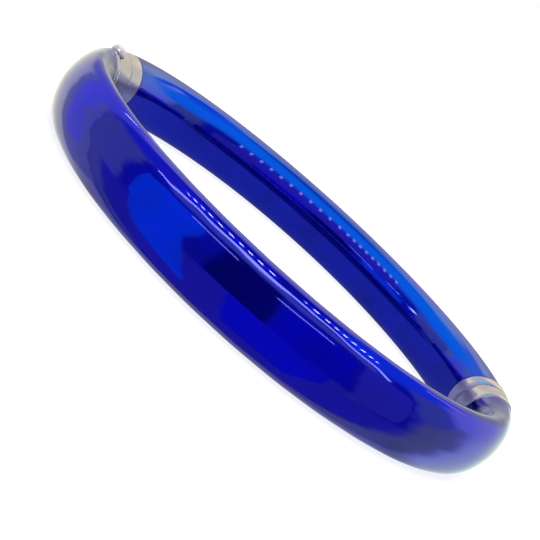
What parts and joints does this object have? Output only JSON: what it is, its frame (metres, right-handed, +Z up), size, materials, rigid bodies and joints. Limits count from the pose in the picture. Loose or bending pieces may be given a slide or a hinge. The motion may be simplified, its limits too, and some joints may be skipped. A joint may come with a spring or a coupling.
{
  "type": "bangle bracelet",
  "caption": "Hinged oval bangle bracelet: glossy translucent blue enamel over a hollow silver tube, with silver end collars and a ball-release tongue clasp.",
  "frame": {"origin": "middle of the wrist opening, on the surface that the bangle lies flat on", "axes": "+Z up along the wrist axis, on the thumb ball's side; +X along the oval's long axis, from clasp to hinge; the front half is at -Y"},
  "size_m": [0.0681, 0.0564, 0.0095],
  "materials": {
    "blue_enamel": "translucent cobalt glass enamel, high gloss",
    "polished_silver": "mirror polished sterling silver",
    "inner_silver": "unpolished sterling silver, inside the tube"
  },
  "bodies": {
    "back_half": {"back_core": "inner_silver", "back_enamel": "blue_enamel", "catch_collar": "polished_silver", "back_clasp_collar": "polished_silver", "catch_plate": "inner_silver", "back_hinge_collar": "polished_silver", "back_hinge_plate": "inner_silver", "back_knuckles": "polished_silver", "hinge_pin": "polished_silver"},
    "front_half": {"front_core": "inner_silver", "front_enamel": "blue_enamel", "front_clasp_rim": "polished_silver", "front_clasp_plate": "inner_silver", "front_hinge_collar": "polished_silver", "front_hinge_plate": "inner_silver", "front_knuckle": "polished_silver", "tongue_blade": "inner_silver"},
    "thumb_release": {"tongue_spring": "inner_silver", "thumb_stem": "polished_silver", "thumb_ball": "polished_silver"}
  },
  "joints": [
    {"name": "bangle_hinge", "type": "hinge", "parent": "back_half", "child": "front_half", "pos_m": [0.033, 0.00125, 0.00443], "axis": [0, 0, 1], "range_deg": [0, 50], "deforming": ["tongue_spring"]},
    {"name": "thumb_press", "type": "hinge", "parent": "front_half", "child": "thumb_release", "pos_m": [-0.0314, 0.0056, 0.00548], "axis": [1, 0, 0], "range_deg": [0, 6], "stiffness_Nm_per_rad": 0.03, "springref_deg": -1.72, "deforming": ["tongue_spring"]}
  ]
}
